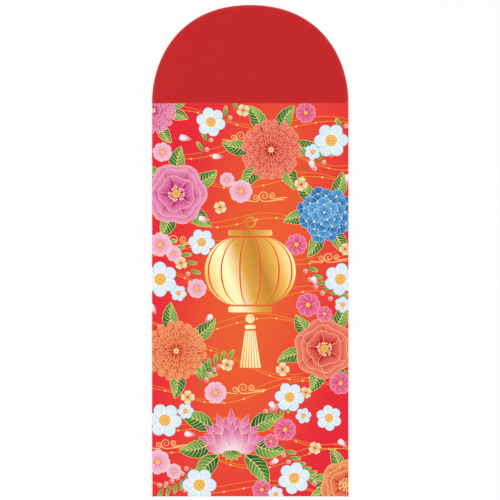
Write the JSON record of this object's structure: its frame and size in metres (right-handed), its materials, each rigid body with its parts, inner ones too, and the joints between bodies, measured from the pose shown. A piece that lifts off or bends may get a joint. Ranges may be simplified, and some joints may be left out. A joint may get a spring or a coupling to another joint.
{
  "type": "red envelope",
  "caption": "Flat folded paper gift envelope with a printed front, a pasted pocket, gold foil ornament and a round top flap that folds back to close the mouth.",
  "frame": {"origin": "middle of the back panel's outer face, midway between the foot and the flap's crease", "axes": "+X across the packet to the right of the printed front, +Y from the foot towards the flap, +Z out of the printed front"},
  "size_m": [0.085, 0.2125, 0.0012],
  "materials": {
    "printed_card": "satin",
    "plain_red_card": "satin",
    "paste": "matte",
    "gum": "gloss",
    "gold_foil": "polished"
  },
  "bodies": {
    "packet": {"front_panel": "printed_card", "left_fold": "plain_red_card", "back_panel": "plain_red_card", "back_step": "plain_red_card", "right_fold": "plain_red_card", "side_tab": "plain_red_card", "side_seam_paste": "paste", "bottom_fold": "plain_red_card", "bottom_flap": "plain_red_card", "bottom_flap_paste": "paste", "top_crease": "plain_red_card", "foil_lantern": "gold_foil", "foil_caps": "gold_foil", "foil_tassel": "gold_foil"},
    "flap": {"top_flap": "plain_red_card", "flap_gum_strip": "gum"}
  },
  "joints": [
    {"name": "flap_fold", "type": "hinge", "parent": "packet", "child": "flap", "pos_m": [0, 0.085, 0.00044], "axis": [-1, 0, 0], "range_deg": [0, 180], "deforming": ["top_crease"]}
  ]
}
